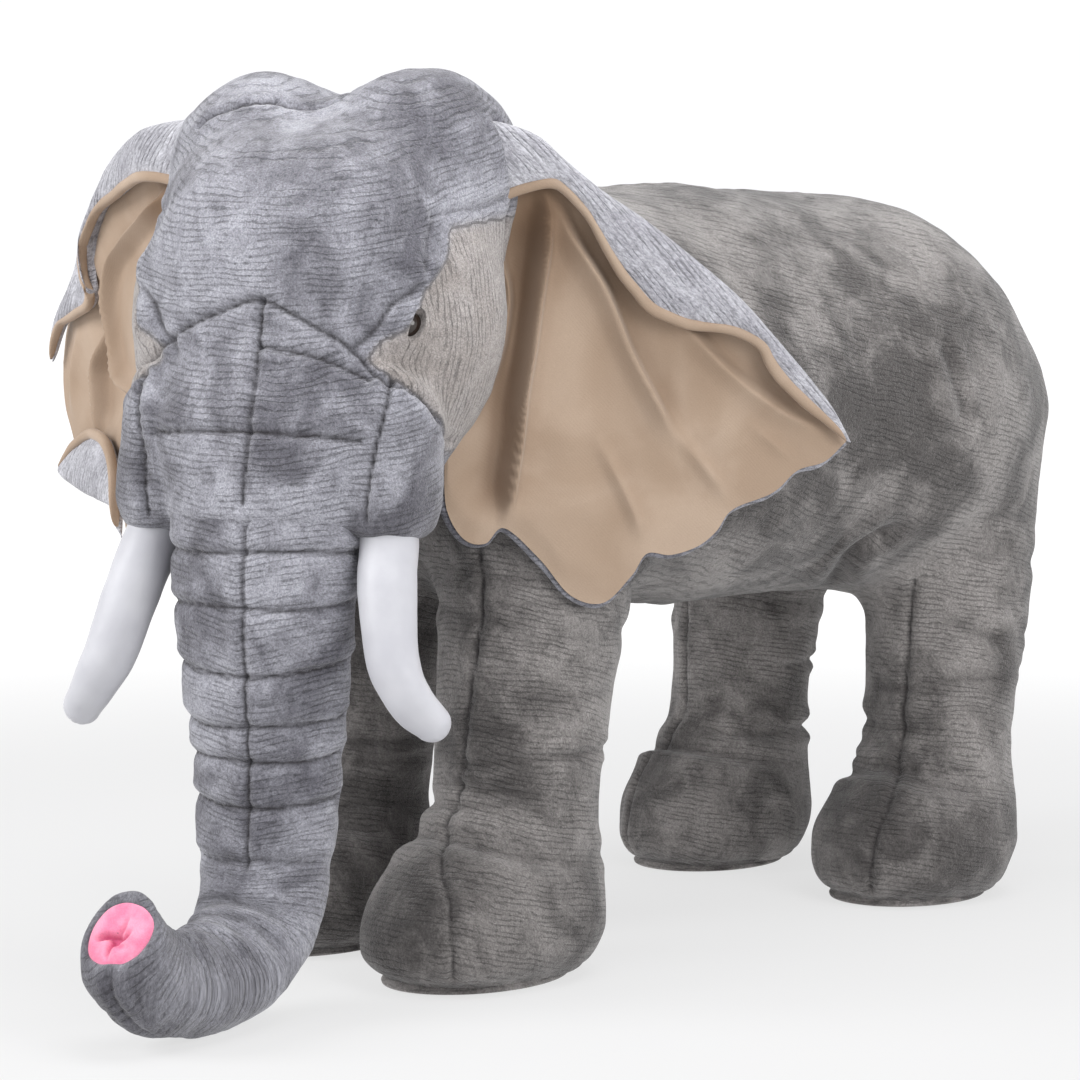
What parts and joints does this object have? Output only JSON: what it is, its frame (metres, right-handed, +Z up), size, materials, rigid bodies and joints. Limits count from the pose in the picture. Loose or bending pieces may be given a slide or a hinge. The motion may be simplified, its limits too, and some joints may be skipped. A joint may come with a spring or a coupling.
{
  "type": "stuffed elephant",
  "caption": "Large standing stuffed elephant in crinkled grey plush with floppy lined ears, satin tusks and a curled stuffed trunk.",
  "frame": {"origin": "on the floor under the middle of the whole toy", "axes": "+Z up, -Y the way the body looks, +X the elephant's left"},
  "size_m": [0.6683, 1.162, 0.7423],
  "materials": {
    "body_plush": "short-pile crinkle plush, warm grey",
    "head_plush": "short-pile crinkle plush, silvery grey",
    "ear_velour": "smooth tan velour",
    "tusk_satin": "smooth white satin plush",
    "nostril_plush": "pink short-pile plush",
    "tuft_yarn": "dark grey yarn",
    "filling": "polyester fibre wadding",
    "frame_steel": "bent round tube",
    "foot_board": "flat stiffening board",
    "washer_plastic": "moulded lock washer",
    "eye_plastic": "glossy dark brown"
  },
  "bodies": {
    "torso": {"torso_skin": "body_plush", "torso_filling": "filling", "front_frame_hoop": "frame_steel", "rear_frame_hoop": "frame_steel", "spine_tube": "frame_steel", "front_left_leg_skin": "body_plush", "front_left_leg_filling": "filling", "front_left_foot_board": "foot_board", "front_left_sole": "body_plush", "front_right_leg_skin": "body_plush", "front_right_leg_filling": "filling", "front_right_foot_board": "foot_board", "front_right_sole": "body_plush", "rear_left_leg_skin": "body_plush", "rear_left_leg_filling": "filling", "rear_left_foot_board": "foot_board", "rear_left_sole": "body_plush", "rear_right_leg_skin": "body_plush", "rear_right_leg_filling": "filling", "rear_right_foot_board": "foot_board", "rear_right_sole": "body_plush"},
    "head": {"head_skin": "head_plush", "head_filling": "filling", "left_eye": "eye_plastic", "right_eye": "eye_plastic", "eye_washers": "washer_plastic", "left_eyelid": "head_plush", "right_eyelid": "head_plush", "left_jaw_pad": "head_plush", "right_jaw_pad": "head_plush", "lower_lip": "head_plush", "left_tusk_skin": "tusk_satin", "left_tusk_filling": "filling", "right_tusk_skin": "tusk_satin", "right_tusk_filling": "filling"},
    "neck": {"neck_core": "filling"},
    "trunk": {"trunk_skin": "head_plush", "trunk_filling": "filling"},
    "trunk_tip": {"trunk_tip_skin": "head_plush", "trunk_tip_filling": "filling", "nostril_pad": "nostril_plush"},
    "left_ear": {"left_ear_back": "head_plush", "left_ear_lining": "ear_velour"},
    "right_ear": {"right_ear_back": "head_plush", "right_ear_lining": "ear_velour"},
    "tail": {"tail_skin": "body_plush", "tail_filling": "filling", "tail_tuft": "tuft_yarn"}
  },
  "joints": [
    {"name": "neck_turn", "type": "hinge", "parent": "torso", "child": "neck", "pos_m": [0.052, -0.205, 0.525], "axis": [0, 0, 1], "range_deg": [-25, 1], "stiffness_Nm_per_rad": 12},
    {"name": "head_nod", "type": "hinge", "parent": "neck", "child": "head", "pos_m": [0.052, -0.205, 0.525], "axis": [0.9063, 0.4226, 0], "range_deg": [-4, 1], "stiffness_Nm_per_rad": 150},
    {"name": "trunk_swing", "type": "hinge", "parent": "head", "child": "trunk", "pos_m": [0.13145, -0.37539, 0.395], "axis": [0.9063, 0.4226, 0], "range_deg": [-20, 4], "stiffness_Nm_per_rad": 6},
    {"name": "trunk_curl", "type": "hinge", "parent": "trunk", "child": "trunk_tip", "pos_m": [0.13356, -0.37992, 0.15], "axis": [0.9063, 0.4226, 0], "range_deg": [-14, 10], "stiffness_Nm_per_rad": 4},
    {"name": "left_ear_flap", "type": "hinge", "parent": "head", "child": "left_ear", "pos_m": [0.20642, -0.1694, 0.525], "axis": [0, 0, 1], "range_deg": [-28, 0], "stiffness_Nm_per_rad": 1.5},
    {"name": "right_ear_flap", "type": "hinge", "parent": "head", "child": "right_ear", "pos_m": [-0.07453, -0.30041, 0.525], "axis": [0, 0, 1], "range_deg": [0, 28], "stiffness_Nm_per_rad": 1.5},
    {"name": "tail_lift", "type": "hinge", "parent": "torso", "child": "tail", "pos_m": [0.052, 0.545, 0.505], "axis": [1, 0, 0], "range_deg": [0, 45], "stiffness_Nm_per_rad": 0.5}
  ]
}
